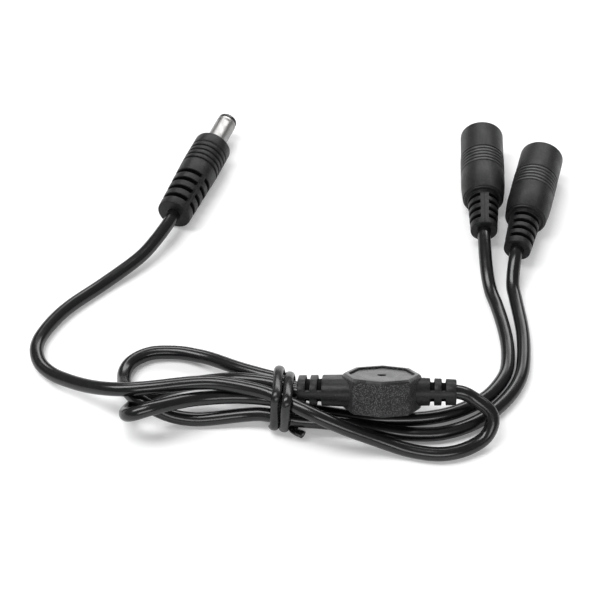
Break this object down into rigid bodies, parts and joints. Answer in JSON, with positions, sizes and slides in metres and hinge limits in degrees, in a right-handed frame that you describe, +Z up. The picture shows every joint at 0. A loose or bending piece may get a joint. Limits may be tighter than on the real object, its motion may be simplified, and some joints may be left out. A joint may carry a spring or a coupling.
{
  "type": "dc splitter cable",
  "caption": "Power splitter cable with a barrel plug on its input cord, an octagonal moulded junction and barrel jacks on its output cords, coiled and held by a twist tie.",
  "frame": {"origin": "on the surface the cable lies on, under the middle of its plug, junction, jacks and tie", "axes": "+Z up; +Y from the coil of cord towards the plug's and jacks' open ends; +X from the plug's side to the jacks' side"},
  "size_m": [0.1381, 0.1157, 0.018],
  "materials": {
    "overmould": "matte moulded vinyl, black",
    "cord_jacket": "smooth extruded vinyl, black",
    "barrel_metal": "satin nickel plating",
    "contact_metal": "nickel plating",
    "insulator": "moulded, black",
    "splice_metal": "tinned crimp sleeve",
    "tie_plastic": "extruded strip, black",
    "tie_wire": "drawn wire",
    "core_red": "red insulation",
    "core_black": "black insulation"
  },
  "bodies": {
    "root": {"plug_overmould": "overmould", "jack_a_overmould": "overmould", "jack_b_overmould": "overmould", "junction_overmould": "overmould", "plug_barrel": "barrel_metal", "plug_center_contact": "contact_metal", "jack_a_center_pin": "contact_metal", "jack_b_center_pin": "contact_metal", "jack_a_sleeve_contact": "contact_metal", "jack_b_sleeve_contact": "contact_metal", "plug_tip_insulator": "insulator", "jack_a_socket_insert": "insulator", "jack_b_socket_insert": "insulator", "junction_positive_splice": "splice_metal", "junction_negative_splice": "splice_metal", "tie_strip": "tie_plastic", "tie_wire": "tie_wire", "plug_positive_core": "core_red", "plug_negative_core": "core_black", "jack_a_positive_core": "core_red", "jack_a_negative_core": "core_black", "jack_b_positive_core": "core_red", "jack_b_negative_core": "core_black", "input_positive_core": "core_red", "input_negative_core": "core_black", "output_a_positive_core": "core_red", "output_a_negative_core": "core_black", "output_b_positive_core": "core_red", "output_b_negative_core": "core_black", "input_cord": "cord_jacket", "output_cord_a": "cord_jacket", "output_cord_b": "cord_jacket"}
  },
  "joints": []
}
